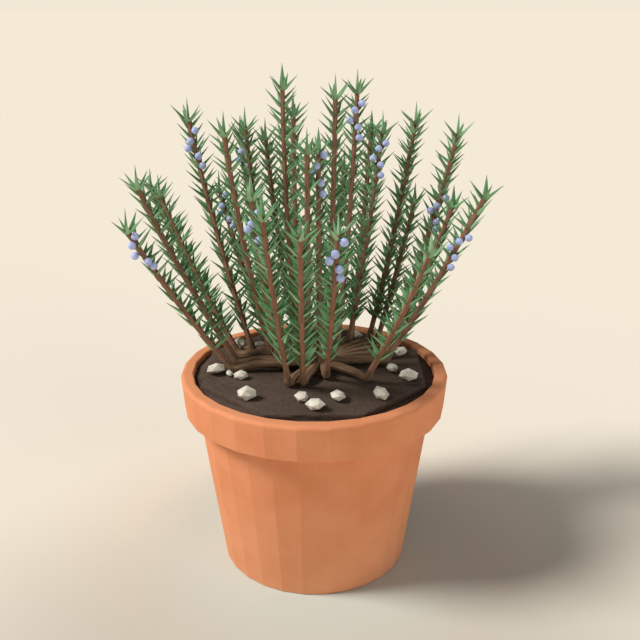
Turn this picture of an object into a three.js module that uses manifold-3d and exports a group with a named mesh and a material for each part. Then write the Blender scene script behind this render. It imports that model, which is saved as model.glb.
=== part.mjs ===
// A rosemary plant in a terracotta pot.
// Millimetres, +Z up. The origin is the centre of the pot's foot, and the plant's front faces -Y.
import * as THREE from "three";
import { mergeVertices } from "three/addons/utils/BufferGeometryUtils.js";
import Module from "manifold-3d";

const wasm = await Module();
wasm.setup();

// ---------------------------------------------------------------- driving dimensions

const GAP = 0.3; // between pieces that touch

// Pot: its radii are to the corners of its 28 flats.
const POT_SIDES = 28;
const POT_HEIGHT = 137;
const LIP_RADIUS = 90;
const LIP_ROUND = 2.6;
const LIP_BULGE = 0.3; // how far the middle of the rounding is from the sharp corner, in roundings
const RIM_HEIGHT = 24.8;
const RIM_FOOT_RADIUS = 88.3;
const RIM_FOOT_ROUND = 1;
const RIM_INNER_RADIUS = 81.4;
const RIM_INNER_ROUND = 1.6;
const NECK_RADIUS = 79.7;
const FOOT_RADIUS = 64.6;
const FOOT_ROUND = 1.2;
const WALL = 5.8;
const FLOOR = 8;
const DRAIN_HOLES = 3;
const DRAIN_RADIUS = 6;
const DRAIN_RING = 30;
const DRAIN_SIDES = 12;

// Soil: a bed up to just under the lip, and on it a low heap that has drawn back from the wall.
const BED_Z = 133.5;
const HEAP_SIDES = 8;
const HEAP_RADIUS = 79.4; // to its rough corners, at its edge
const HEAP_FOOT_RADIUS = 79.9;
const HEAP_EDGE_Z = 137;
const HEAP_EDGE_ROUND = 1;
const HEAP_RISE = 1.8;
const HEAP_RINGS = [45, 20]; // radii of the flats that make up its top
const HEAP_ROOT = 1; // how far the heap reaches down into the bed

// Trunk: [height over the soil, radius to its corners], from the root end up.
const TRUNK = new THREE.Vector2(4, -10);
const TRUNK_SIDES = 8;
const TRUNK_LEVELS = [
  [-22, 5.3],
  [-6, 7.6],
  [3, 8.2],
  [13, 5.6],
  [26, 2.1],
];

// Branches of the crown. They arch out over the soil and turn up into the leafy stems.
const BRANCH_SIDES = 5;
const BRANCH_RADIUS = 2.9;
const BRANCH_COURSE = [
  // [share of the way out from the trunk, height of the branch's axis over the soil]
  [0, 6.8],
  [0.45, 6.2],
  [0.8, 5],
];
const STUB = 7; // the upturned end of a branch

// Leafy stems.
const STEM_SIDES = 5;
const HALF_SIDE = Math.PI / STEM_SIDES; // half of the angle between two corners
const STEM_RADIUS = 2.1; // at the foot, to the corners
const STEM_TIP_RADIUS = 1.7;
const STEM_BOW = 0.04; // how far the middle control point stands outward, as a share of the length
const BARE_FOOT = 11; // length of stem under the first whorl
const WHORL_PITCH = 10.8;
const WHORL_TWIST = 12; // degrees that whorls are turned, one to the left and the next to the right
const END_SPIKE = 14; // the upright spike that ends each stem

// Needles. Angles are in degrees, and spreads are full ranges.
const NEEDLE_SEAT = 3.6; // height of a needle's root on the stem
const TOP_WHORL_DROP = 0.7; // from the stem's end to the middle of its last whorl, in seats
const NEEDLE_ROOT_RADIUS = 1.7;
const NEEDLE_LENGTH = 14.2;
const NEEDLE_LENGTH_SPREAD = 3.6;
const NEEDLE_RISE = 45; // above the horizontal
const NEEDLE_RISE_SPREAD = 14;
const NEEDLE_SWING_SPREAD = 12;
const BARE_FRONT = 33; // no needle grows nearer than this to straight ahead, but for the top whorl's
const NEEDLE_SEED = 41;
const CLEARANCE = 0.25; // between the needles of two stems

// Flower buds, in a loose cluster on each stem in flower.
const BUD_CLUSTER = [
  // [distance under the first bud, degrees round the stem from straight ahead to its right]
  [0, 45],
  [6, -15],
  [11.5, -60],
  [17, 20],
  [22.7, 35],
];
const BUD_RADIUS = 2.55;
const BUD_WAIST = 0.95; // radius of its two middle rings, as a share
const BUD_STALK = 0.35; // radius of the stalk's end, as a share
const BUD_REACH = 6; // from the stem's surface to the bud's far side
const BUD_SEAT = 2.2; // height of a stalk's root on the stem
const BUD_ROOM = 3.2; // from the middle of a whorl to that of the nearest bud off it

// Stone chips on the soil.
const CHIP_HALF_AXES = new THREE.Vector3(6.5, 5.1, 3.6);
const CHIP_LEAST_CORNER = 0.78; // shares of a half-axis, for the chip's own corners
const CHIP_CORNER_SPREAD = 0.34;
const CHIP_TILT_SPREAD = 0.5; // radians
const CHIP_SEED = 7;

// Where each stem turns up from the soil (x, y), where it ends (x, y, z), and, on a stem in flower,
// how far under its end its first bud is.
const STEMS = [
  // left side
  { foot: [-55, -11], end: [-117, -16, 237], buds: 5 },
  { foot: [-52, 0], end: [-114, 8, 260] },
  { foot: [-53, 16], end: [-107, 46, 247] },
  { foot: [-56, 26], end: [-118, 76, 246] },
  { foot: [-42, 14], end: [-86, 56, 297], buds: 10 },
  { foot: [-34, 42], end: [-69, 78, 244], buds: 6 },
  { foot: [-28, 3], end: [-57, 12, 293] },
  { foot: [-23, -7], end: [-37, -38, 263], buds: 10 },
  // back
  { foot: [-26, 29], end: [-48, 66, 290] },
  { foot: [-23, 45], end: [-54, 94, 281], buds: 7 },
  { foot: [-14, 41], end: [-35, 80, 281] },
  { foot: [-12, 26], end: [-14, 46, 302] },
  { foot: [10, 46], end: [22, 100, 257] },
  { foot: [24, 30], end: [48, 76, 286], buds: 9 },
  { foot: [26, 41], end: [41, 90, 285] },
  { foot: [39, 41], end: [72, 82, 292] },
  // middle
  { foot: [-11, 11], end: [-20, 24, 321] },
  { foot: [-4, -19], end: [-4, -12, 286] },
  { foot: [9, 14], end: [14, 36, 314] },
  { foot: [16, 26], end: [29, 54, 316], buds: 9 },
  // front
  { foot: [-16, -36], end: [-28, -78, 260] },
  { foot: [-7, -35], end: [-7, -86, 251] },
  { foot: [8, -24], end: [14, -80, 250], buds: 4 },
  // right side
  { foot: [34, -28], end: [69, -52, 232] },
  { foot: [48, 1], end: [114, 26, 250], buds: 30 },
  { foot: [50, 13], end: [94, 34, 242] },
  { foot: [53, 28], end: [98, 54, 287], buds: 45 },
  { foot: [44, 33], end: [73, 80, 235] },
];
// The stem that carries on from the top of the trunk.
const LEADER = { foot: [TRUNK.x, TRUNK.y], end: [3, -5, 285], buds: 3 };

// Centre of each chip on the soil (x, y), and its size against a middling chip.
const CHIPS = [
  { at: [-65, -12], size: 1.1 },
  { at: [-48, -22], size: 0.85 },
  { at: [-56, -17], size: 0.55 },
  { at: [-42, -52], size: 1.15 },
  { at: [-7, -56], size: 0.95 },
  { at: [1, -67], size: 1.1 },
  { at: [15, -54], size: 1 },
  { at: [42, -51], size: 1.1 },
  { at: [62, -22], size: 1.05 },
  { at: [52, -11], size: 0.95 },
  { at: [61, 21], size: 0.95 },
  { at: [30, 51], size: 0.95 },
  { at: [-53, 35], size: 0.95 },
  { at: [-39, 34], size: 0.75 },
];

// ---------------------------------------------------------------- materials

function matte(color, roughness) {
  return new THREE.MeshStandardMaterial({ color, roughness, metalness: 0, flatShading: true });
}

const TERRACOTTA = matte("#d98b63", 0.85);
const POTTING_SOIL = matte("#4b3e36", 0.98);
const BARK = matte("#7a5840", 0.9);
const ROSEMARY_GREEN = matte("#41744a", 0.65);
const PALE_STONE = matte("#d9cfbc", 0.9);

// ---------------------------------------------------------------- directions and random draws

const { lerp, clamp, degToRad } = THREE.MathUtils;
const RIGHT = new THREE.Vector3(1, 0, 0);
const UP = new THREE.Vector3(0, 0, 1);

/** A generator of numbers from 0 to 1, the same in each run. */
function seededRandom(seed) {
  const RANGE = 2 ** 32;
  const MULTIPLIER = 1664525;
  const STEP = 1013904223;
  let state = seed;
  return () => {
    state = (state * MULTIPLIER + STEP) % RANGE;
    return state / RANGE;
  };
}

/** A number drawn from the full range of a spread, round a middle. */
function drawn(random, middle, spread) {
  return middle + spread * (random() - 0.5);
}

/** Two directions square to a heading, the first of them as near as can be to a guide. */
function squareTo(heading, guide = RIGHT) {
  const across = guide.clone().addScaledVector(heading, -guide.dot(heading)).normalize();
  return [across, heading.clone().cross(across)];
}

// ---------------------------------------------------------------- surfaces and solids

/** A surface that grows point by point and triangle by triangle. */
class Skin {
  points = [];
  triangles = [];

  addPoint(point) {
    this.points.push(point.clone());
    return this.points.length - 1;
  }

  addTriangle(a, b, c) {
    this.triangles.push(a, b, c);
  }

  /** A regular polygon square to a heading, counter-clockwise seen from ahead. */
  addPolygon(centre, heading, radius, sides, turn = 0, guide = RIGHT) {
    const [across, along] = squareTo(heading, guide);
    return Array.from({ length: sides }, (_, i) => {
      const angle = turn + (i / sides) * 2 * Math.PI;
      const corner = centre.clone().addScaledVector(across, radius * Math.cos(angle));
      return this.addPoint(corner.addScaledVector(along, radius * Math.sin(angle)));
    });
  }

  /** Fills between two rings of as many corners. */
  bridge(lower, upper) {
    lower.forEach((corner, i) => {
      const next = (i + 1) % lower.length;
      this.addTriangle(corner, lower[next], upper[i]);
      this.addTriangle(lower[next], upper[next], upper[i]);
    });
  }

  /** Joins a row of rings into a rod with flat ends. */
  addRod(rings) {
    for (let i = 1; i < rings.length; i += 1) this.bridge(rings[i - 1], rings[i]);
    this.addStartCap(rings[0]);
    this.addEndCap(rings[rings.length - 1]);
  }

  addStartCap(ring) {
    for (let i = 2; i < ring.length; i += 1) this.addTriangle(ring[0], ring[i], ring[i - 1]);
  }

  addEndCap(ring) {
    for (let i = 2; i < ring.length; i += 1) this.addTriangle(ring[0], ring[i - 1], ring[i]);
  }

  /** Closes the four corners of a side. */
  addFlat([a, b, c, d]) {
    this.addTriangle(a, b, d);
    this.addTriangle(b, c, d);
  }

  /** Draws a ring out to a point. */
  addCone(ring, tip) {
    const apex = this.addPoint(tip);
    ring.forEach((corner, i) => this.addTriangle(corner, ring[(i + 1) % ring.length], apex));
  }

  geometry() {
    const positions = this.points.flatMap((point) => point.toArray());
    const geometry = new THREE.BufferGeometry();
    geometry.setAttribute("position", new THREE.Float32BufferAttribute(positions, 3));
    return geometry.setIndex(this.triangles);
  }
}

/** A geometry of plain points, with those that lie together made one. */
function merged(geometry) {
  const TOGETHER = 1e-4;
  const plain = geometry.clone();
  plain.deleteAttribute("normal");
  plain.deleteAttribute("uv");
  return mergeVertices(plain, TOGETHER);
}

/** A closed geometry as a solid that can be joined and cut. */
function solidOf(geometry) {
  const closed = merged(geometry);
  const corners = Array.from(closed.index.array);
  const triVerts = [];
  for (let i = 0; i < corners.length; i += 3) {
    const [a, b, c] = corners.slice(i, i + 3);
    if (a !== b && b !== c && c !== a) triVerts.push(a, b, c); // one at a pole has no area
  }
  return new wasm.Manifold(
    new wasm.Mesh({
      numProp: 3,
      vertProperties: closed.attributes.position.array,
      triVerts: new Uint32Array(triVerts),
    }),
  );
}

/** The geometry of a solid, back again. */
function geometryOf(solid) {
  const mesh = solid.getMesh();
  const geometry = new THREE.BufferGeometry();
  geometry.setAttribute("position", new THREE.BufferAttribute(mesh.vertProperties, 3));
  return geometry.setIndex(new THREE.BufferAttribute(mesh.triVerts, 1));
}

/** A joined solid with any hollow that the joining sealed filled in. */
function filled(solid) {
  const bodies = solid.decompose();
  return bodies.reduce((largest, body) => (body.volume() > largest.volume() ? body : largest));
}

// ---------------------------------------------------------------- pot and soil

/** Turns a profile of [radius, height] pairs round the Z axis, with one flat facing the front. */
function turned(profile) {
  const points = profile.map(([radius, height]) => new THREE.Vector2(radius, height));
  const lathe = new THREE.LatheGeometry(points, POT_SIDES, Math.PI / POT_SIDES);
  return lathe.rotateX(Math.PI / 2);
}

/** Outer radius of the pot's body at a height under the rim. */
function bodyRadius(height) {
  return lerp(FOOT_RADIUS, NECK_RADIUS, height / (POT_HEIGHT - RIM_HEIGHT));
}

/** Inner radius of the rim at a height: its inside leans as its outside does. */
function rimInnerRadius(height) {
  const lean = (LIP_RADIUS - RIM_FOOT_RADIUS) / RIM_HEIGHT;
  return RIM_INNER_RADIUS - lean * (POT_HEIGHT - height);
}

/** The inside of the pot from the floor up to the bed of soil, taken in by a margin. */
function innerWall(margin = 0) {
  const shoulder = POT_HEIGHT - RIM_HEIGHT;
  const throat = POT_HEIGHT - RIM_HEIGHT / 2;
  return [
    [bodyRadius(FLOOR) - WALL - margin, FLOOR + margin],
    [bodyRadius(shoulder) - WALL - margin, shoulder],
    [rimInnerRadius(throat) - margin, throat],
    [rimInnerRadius(BED_Z) - margin, BED_Z],
  ];
}

/** The pot's outside from the centre of the foot up and over the lip. */
function outerWall() {
  const under = POT_HEIGHT - RIM_HEIGHT;
  return [
    [0, 0],
    [FOOT_RADIUS - FOOT_ROUND, 0],
    [bodyRadius(FOOT_ROUND), FOOT_ROUND],
    [NECK_RADIUS, under],
    [RIM_FOOT_RADIUS - RIM_FOOT_ROUND, under],
    [RIM_FOOT_RADIUS, under + RIM_FOOT_ROUND],
    [LIP_RADIUS, POT_HEIGHT - LIP_ROUND],
    [LIP_RADIUS - LIP_ROUND * LIP_BULGE, POT_HEIGHT - LIP_ROUND * LIP_BULGE],
    [LIP_RADIUS - LIP_ROUND, POT_HEIGHT],
    [RIM_INNER_RADIUS + RIM_INNER_ROUND, POT_HEIGHT],
    [RIM_INNER_RADIUS, POT_HEIGHT - RIM_INNER_ROUND],
  ];
}

function drainHole(index) {
  const angle = Math.PI / 2 + (index / DRAIN_HOLES) * 2 * Math.PI;
  const hole = new THREE.CylinderGeometry(DRAIN_RADIUS, DRAIN_RADIUS, 3 * FLOOR, DRAIN_SIDES);
  hole.rotateX(Math.PI / 2);
  return hole.translate(DRAIN_RING * Math.cos(angle), DRAIN_RING * Math.sin(angle), 0);
}

function buildPot() {
  let pot = solidOf(turned([...outerWall(), ...innerWall().reverse(), [0, FLOOR]]));
  for (let i = 0; i < DRAIN_HOLES; i += 1) pot = pot.subtract(solidOf(drainHole(i)));
  return geometryOf(pot);
}

/** Height of the top of the heap at a place. */
function soilHeight(x, y) {
  const share = Math.min(1, Math.hypot(x, y) / HEAP_RADIUS);
  return HEAP_EDGE_Z + HEAP_RISE * (1 - share * share);
}

/** The heap on the bed: it has rough sides, a rounded edge and a top of large low flats. */
function heapGeometry() {
  const FIRST_CORNER = Math.PI / HEAP_SIDES;
  const levels = [
    [HEAP_FOOT_RADIUS, BED_Z - HEAP_ROOT],
    [HEAP_RADIUS, HEAP_EDGE_Z - HEAP_EDGE_ROUND],
    [HEAP_RADIUS - HEAP_EDGE_ROUND, HEAP_EDGE_Z],
    ...HEAP_RINGS.map((radius) => [radius, soilHeight(radius, 0)]),
  ];
  const skin = new Skin();
  const rings = levels.map(([radius, z]) => {
    return skin.addPolygon(new THREE.Vector3(0, 0, z), UP, radius, HEAP_SIDES, FIRST_CORNER);
  });
  skin.addRod(rings);
  return skin.geometry();
}

/** The soil: a bed inside the pot with a heap on top, and a plain hole for the trunk. */
function buildSoil() {
  const bed = solidOf(turned([[0, FLOOR + GAP], ...innerWall(GAP), [0, BED_Z]]));
  const hole = solidOf(trunkGeometry(GAP));
  return geometryOf(bed.add(solidOf(heapGeometry())).subtract(hole));
}

// ---------------------------------------------------------------- crown

/** The trunk, grown thicker by a margin all round and at its root end. */
function trunkGeometry(margin = 0) {
  const soil = soilHeight(TRUNK.x, TRUNK.y);
  const skin = new Skin();
  const rings = TRUNK_LEVELS.map(([height, radius], i) => {
    const z = soil + height - (i === 0 ? margin : 0);
    const centre = new THREE.Vector3(TRUNK.x, TRUNK.y, z);
    return skin.addPolygon(centre, UP, radius + margin, TRUNK_SIDES);
  });
  skin.addRod(rings);
  return skin.geometry();
}

/** A branch: out from the trunk, over its arch, down to its elbow on the soil and up into a stub. */
function branchGeometry({ elbow, stubEnd, direction }) {
  const trunk = new THREE.Vector3(TRUNK.x, TRUNK.y, elbow.z);
  const course = BRANCH_COURSE.map(([share, height]) => {
    const point = trunk.clone().lerp(elbow, share);
    return point.setZ(soilHeight(point.x, point.y) + height);
  });
  const path = [...course, elbow, stubEnd];
  const sideways = elbow.clone().sub(trunk).cross(UP).normalize();
  const skin = new Skin();
  const rings = path.map((point, i) => {
    if (point === stubEnd) {
      return skin.addPolygon(point, direction, STEM_RADIUS, BRANCH_SIDES, 0, sideways);
    }
    const heading = path[i + 1].clone().sub(path[Math.max(0, i - 1)]).normalize();
    return skin.addPolygon(point, heading, BRANCH_RADIUS, BRANCH_SIDES, 0, sideways);
  });
  skin.addRod(rings);
  return skin.geometry();
}

function buildCrown(stems) {
  let crown = solidOf(trunkGeometry());
  for (const stem of stems) crown = crown.add(solidOf(branchGeometry(stem)));
  return geometryOf(filled(crown));
}

// ---------------------------------------------------------------- the course of a stem

/** Works out a stem's elbow, its stub and the curve of its leafy part, which starts from a lift. */
function plotStem({ foot: [x, y], end, buds }, lift, stub) {
  const elbow = new THREE.Vector3(x, y, soilHeight(x, y) + lift);
  const tip = new THREE.Vector3(...end);
  const outward = new THREE.Vector3(tip.x - x, tip.y - y, 0).normalize();
  const control = elbow.clone().lerp(tip, 0.5);
  control.addScaledVector(outward, STEM_BOW * elbow.distanceTo(tip));
  const direction = control.clone().sub(elbow).normalize();
  const stubEnd = elbow.clone().addScaledVector(direction, stub);
  const start = elbow.clone().addScaledVector(direction, stub + GAP);
  const curve = new THREE.QuadraticBezierCurve3(start, control, tip);
  return { elbow, direction, stubEnd, curve, length: curve.getLength(), buds };
}

/** Radius of a stem's wood, to its corners, at a share of its length. */
function stemRadius(share) {
  return lerp(STEM_RADIUS, STEM_TIP_RADIUS, share);
}

/** The whorls of a stem, each a band of its length, evenly spaced up to its end. */
function plotWhorls(stem) {
  const last = stem.length - NEEDLE_SEAT * TOP_WHORL_DROP;
  const steps = Math.round((last - BARE_FOOT) / WHORL_PITCH);
  return Array.from({ length: steps + 1 }, (_, i) => ({
    at: lerp(BARE_FOOT, last, i / steps),
    height: NEEDLE_SEAT,
    hasNeedles: true,
  }));
}

/** Gives a bud to the whorl that it is on, or else a band of its own in the bare wood beside it. */
function addBud(bands, at, facing) {
  const whorls = bands.filter((band) => band.hasNeedles);
  const offset = (band) => at - band.at;
  const distance = (band) => Math.abs(offset(band));
  const whorl = whorls.reduce((best, band) => (distance(band) < distance(best) ? band : best));
  if (distance(whorl) < BUD_ROOM / 2) {
    whorl.facing = facing;
    return;
  }
  const clear = Math.sign(offset(whorl)) * Math.max(BUD_ROOM, distance(whorl));
  bands.push({ at: whorl.at + clear, height: BUD_SEAT, hasNeedles: false, facing });
}

/** Turns a side of each band to the front, and on from there until one side faces as its bud does. */
function turnBands(bands) {
  const FRONT = -Math.PI / 2;
  bands.forEach((band, i) => {
    band.turn = FRONT - HALF_SIDE + degToRad(i % 2 === 0 ? -WHORL_TWIST : WHORL_TWIST);
    if (band.facing === undefined) return;
    const wanted = FRONT + degToRad(band.facing) - HALF_SIDE;
    const side = Math.round((wanted - band.turn) / (2 * HALF_SIDE));
    band.turn = wanted - side * 2 * HALF_SIDE;
    band.budSide = ((side % STEM_SIDES) + STEM_SIDES) % STEM_SIDES;
  });
}

/** The middle of one side of a band, and the way it faces. */
function sideOf(stem, band, side) {
  const share = band.at / stem.length;
  const [across, along] = squareTo(stem.curve.getTangentAt(share));
  const angle = band.turn + (2 * side + 1) * HALF_SIDE;
  const normal = across.multiplyScalar(Math.cos(angle)).addScaledVector(along, Math.sin(angle));
  const root = stem.curve.getPointAt(share);
  return { root: root.addScaledVector(normal, stemRadius(share) * Math.cos(HALF_SIDE)), normal };
}

// ---------------------------------------------------------------- needles, bent clear of each other

/** What stands in the way of a bud or needle: thin cones, each from a root to a point. */
class Thicket {
  cones = [];

  add(cone) {
    const centre = cone.root.clone().lerp(cone.tip, 0.5);
    const reach = centre.distanceTo(cone.root) + Math.max(cone.rootRadius, cone.tipRadius);
    this.cones.push({ ...cone, centre, reach });
  }

  /** Enters every stem's wood and its end spike. */
  addWood(stems) {
    const STEP = 10;
    stems.forEach((stem, owner) => {
      const points = stem.curve.getSpacedPoints(Math.ceil(stem.length / STEP));
      const end = points[points.length - 1];
      for (let i = 1; i < points.length; i += 1) {
        const [root, tip] = [points[i - 1], points[i]];
        this.add({ root, tip, rootRadius: STEM_RADIUS, tipRadius: STEM_RADIUS, owner });
      }
      const tip = end.clone().addScaledVector(UP, END_SPIKE);
      this.add({ root: end, tip, rootRadius: STEM_TIP_RADIUS, tipRadius: 0, owner });
    });
  }

  /** Whether a cone stays clear of all but its own stem's wood and its own whorl. */
  isClear(cone) {
    const centre = cone.root.clone().lerp(cone.tip, 0.5);
    const reach = centre.distanceTo(cone.root) + cone.rootRadius + CLEARANCE;
    return !this.cones.some((other) => {
      const isOwnWood = other.owner === cone.owner && other.band === undefined;
      const isOwnWhorl = other.owner === cone.owner && other.band === cone.band;
      if (isOwnWood || isOwnWhorl) return false;
      if (other.centre.distanceTo(centre) > other.reach + reach) return false;
      return distanceBetween(cone, other) < CLEARANCE;
    });
  }
}

/** The space between two cones, measured where their axes come nearest. */
function distanceBetween(one, two) {
  const PARALLEL = 1e-9;
  const first = one.tip.clone().sub(one.root);
  const second = two.tip.clone().sub(two.root);
  const between = one.root.clone().sub(two.root);
  const a = first.dot(first);
  const b = first.dot(second);
  const c = first.dot(between);
  const e = second.dot(second);
  const f = second.dot(between);
  const spread = a * e - b * b;
  const guess = spread > PARALLEL ? clamp((b * f - c * e) / spread, 0, 1) : 0;
  const t = clamp((b * guess + f) / e, 0, 1);
  const s = clamp((b * t - c) / a, 0, 1);
  const near = one.root.clone().addScaledVector(first, s);
  const far = two.root.clone().addScaledVector(second, t);
  const thickness = lerp(one.rootRadius, one.tipRadius, s) + lerp(two.rootRadius, two.tipRadius, t);
  return near.distanceTo(far) - thickness;
}

/** The ways a needle may be bent, in turn: degrees more of rise and of swing, and share of length. */
const BENDS = [
  [0, 0, 1],
  [0, 12, 1],
  [0, -12, 1],
  [12, 0, 1],
  [12, 14, 1],
  [12, -14, 1],
  [-12, 0, 1],
  [22, 0, 1],
  [22, 16, 0.9],
  [22, -16, 0.9],
  [0, 0, 0.75],
  [15, 12, 0.7],
  [15, -12, 0.7],
  [15, 0, 0.5],
];

/** A needle's point: it rises from the horizontal, whichever way the stem leans. */
function needleTip(root, normal, rise, swing, length) {
  const heading = new THREE.Vector3(normal.x, normal.y, 0).normalize();
  heading.applyAxisAngle(UP, degToRad(swing)).multiplyScalar(Math.cos(degToRad(rise)));
  heading.addScaledVector(UP, Math.sin(degToRad(rise)));
  return root.clone().addScaledVector(heading, length);
}

/** Finds a needle's point that is clear of the thicket and enters the needle there, or finds none. */
function placeNeedle({ root, normal }, place, thicket, random) {
  const rise = drawn(random, NEEDLE_RISE, NEEDLE_RISE_SPREAD);
  const swing = drawn(random, 0, NEEDLE_SWING_SPREAD);
  const length = drawn(random, NEEDLE_LENGTH, NEEDLE_LENGTH_SPREAD);
  for (const [moreRise, moreSwing, share] of BENDS) {
    const tip = needleTip(root, normal, rise + moreRise, swing + moreSwing, length * share);
    const needle = { root, tip, rootRadius: NEEDLE_ROOT_RADIUS, tipRadius: 0, ...place };
    if (thicket.isClear(needle)) {
      thicket.add(needle);
      return tip;
    }
  }
  return null;
}

// ---------------------------------------------------------------- leafy stems

/** Raises a bud on a short stalk from the four corners of a stem's side. */
function raiseBud(skin, corners, { root, normal }) {
  const FIRST_CORNER = -0.75 * Math.PI; // in line with the first corner of the side
  const guide = skin.points[corners[1]].clone().sub(skin.points[corners[0]]);
  const ring = (reach, radius) => {
    const centre = root.clone().addScaledVector(normal, reach);
    return skin.addPolygon(centre, normal, radius, corners.length, FIRST_CORNER, guide);
  };
  const middle = BUD_REACH - BUD_RADIUS;
  const stalk = ring(middle - BUD_RADIUS, BUD_RADIUS * BUD_STALK);
  const lower = ring(middle - BUD_RADIUS / 2, BUD_RADIUS * BUD_WAIST);
  const upper = ring(middle + BUD_RADIUS / 2, BUD_RADIUS * BUD_WAIST);
  skin.bridge(corners, stalk);
  skin.bridge(stalk, lower);
  skin.bridge(lower, upper);
  skin.addCone(upper, root.clone().addScaledVector(normal, BUD_REACH));
}

/** Enters a bud in the thicket, if there is room for it. */
function placeBud({ root, normal }, place, thicket) {
  const centre = root.clone().addScaledVector(normal, BUD_REACH - BUD_RADIUS);
  const bud = { root, tip: centre, rootRadius: BUD_RADIUS / 2, tipRadius: BUD_RADIUS, ...place };
  const isClear = thicket.isClear(bud);
  if (isClear) thicket.add(bud);
  return isClear;
}

/** The bands of a stem from its foot to its end, with those buds that have room. */
function plotBands(stem, owner, thicket) {
  const bands = plotWhorls(stem);
  if (stem.buds) {
    const first = stem.length - stem.buds;
    BUD_CLUSTER.forEach(([under, facing]) => addBud(bands, first - under, facing));
    bands.sort((a, b) => a.at - b.at);
  }
  turnBands(bands);
  bands.forEach((band, index) => {
    if (band.budSide === undefined) return;
    const seat = sideOf(stem, band, band.budSide);
    if (!placeBud(seat, { owner, band: index }, thicket)) band.budSide = undefined;
  });
  return bands;
}

/** Whether a needle grows from a side of a band. */
function hasNeedle(stem, band, { normal }) {
  const isTop = band === stem.bands[stem.bands.length - 1];
  const isInFront = -normal.y > Math.cos(degToRad(BARE_FRONT));
  return band.hasNeedles && (isTop || !isInFront);
}

/** A leafy stem in one surface: its sides are drawn out into needles and buds, its end into a spike. */
function buildStem(stem, owner, thicket, random) {
  const skin = new Skin();
  const ringAt = (distance, turn) => {
    const share = distance / stem.length;
    const heading = stem.curve.getTangentAt(share);
    const centre = stem.curve.getPointAt(share);
    return skin.addPolygon(centre, heading, stemRadius(share), STEM_SIDES, turn);
  };
  let below = ringAt(0, stem.bands[0].turn);
  skin.addStartCap(below);
  stem.bands.forEach((band, index) => {
    const lower = ringAt(band.at - band.height / 2, band.turn);
    const upper = ringAt(band.at + band.height / 2, band.turn);
    skin.bridge(below, lower);
    for (let side = 0; side < STEM_SIDES; side += 1) {
      const next = (side + 1) % STEM_SIDES;
      const corners = [lower[side], lower[next], upper[next], upper[side]];
      const seat = sideOf(stem, band, side);
      if (side === band.budSide) {
        raiseBud(skin, corners, seat);
        continue;
      }
      const place = { owner, band: index };
      const grows = hasNeedle(stem, band, seat);
      const tip = grows ? placeNeedle(seat, place, thicket, random) : null;
      if (tip) skin.addCone(corners, tip);
      else skin.addFlat(corners);
    }
    below = upper;
  });
  const top = ringAt(stem.length, stem.bands[stem.bands.length - 1].turn);
  skin.bridge(below, top);
  skin.addCone(top, stem.curve.getPoint(1).addScaledVector(UP, END_SPIKE));
  return skin.geometry();
}

// ---------------------------------------------------------------- stone chips

/** An angular chip lying on the soil: a rough ball of 20 flats, squashed and turned. */
function buildChip({ at, size }, random) {
  const geometry = merged(new THREE.IcosahedronGeometry(1, 0));
  const corners = geometry.attributes.position;
  const corner = new THREE.Vector3();
  for (let i = 0; i < corners.count; i += 1) {
    const share = CHIP_LEAST_CORNER + CHIP_CORNER_SPREAD * random();
    corner.fromBufferAttribute(corners, i).multiply(CHIP_HALF_AXES).multiplyScalar(size * share);
    corners.setXYZ(i, corner.x, corner.y, corner.z);
  }
  geometry.rotateY(drawn(random, 0, CHIP_TILT_SPREAD));
  geometry.rotateZ(random() * 2 * Math.PI);
  geometry.translate(at[0], at[1], 0);
  let lowest = Infinity;
  for (let i = 0; i < corners.count; i += 1) {
    corner.fromBufferAttribute(corners, i);
    lowest = Math.min(lowest, corner.z - soilHeight(corner.x, corner.y));
  }
  return geometry.translate(0, 0, GAP - lowest);
}

// ---------------------------------------------------------------- the plant

const plant = new THREE.Group();

function addPiece(name, geometry, look) {
  const mesh = new THREE.Mesh(geometry, look);
  mesh.name = name;
  plant.add(mesh);
}

const twoDigits = (index) => String(index + 1).padStart(2, "0");

const trunkTop = TRUNK_LEVELS[TRUNK_LEVELS.length - 1][0];
const branched = STEMS.map((row) => plotStem(row, BRANCH_RADIUS + GAP, STUB));
const stems = [...branched, plotStem(LEADER, trunkTop, 0)];

addPiece("pot", buildPot(), TERRACOTTA);
addPiece("soil", buildSoil(), POTTING_SOIL);
addPiece("crown", buildCrown(branched), BARK);

const thicket = new Thicket();
const needleRandom = seededRandom(NEEDLE_SEED);
thicket.addWood(stems);
stems.forEach((stem, i) => {
  stem.bands = plotBands(stem, i, thicket);
});
stems.forEach((stem, i) => {
  const geometry = buildStem(stem, i, thicket, needleRandom);
  addPiece(`leafy_stem_${twoDigits(i)}`, geometry, ROSEMARY_GREEN);
});

const chipRandom = seededRandom(CHIP_SEED);
CHIPS.forEach((chip, i) => {
  addPiece(`stone_chip_${twoDigits(i)}`, buildChip(chip, chipRandom), PALE_STONE);
});

export default plant;
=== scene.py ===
# %% [markdown]
# # A rosemary in a terracotta pot
#
# The real object is a clay pot of soil with a young rosemary in it: a low woody crown, 29 leafy stems,
# a few clusters of lavender-blue buds, and pale stone chips on the soil. Its solids were made in CAD, and
# this lesson dresses them. Every length here is in millimetres until it is handed to Blender, which
# works in metres. Up is +Z, and the plant faces -Y, towards the camera.
#
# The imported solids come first. They fix where everything is, so nothing below is placed by eye.

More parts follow.
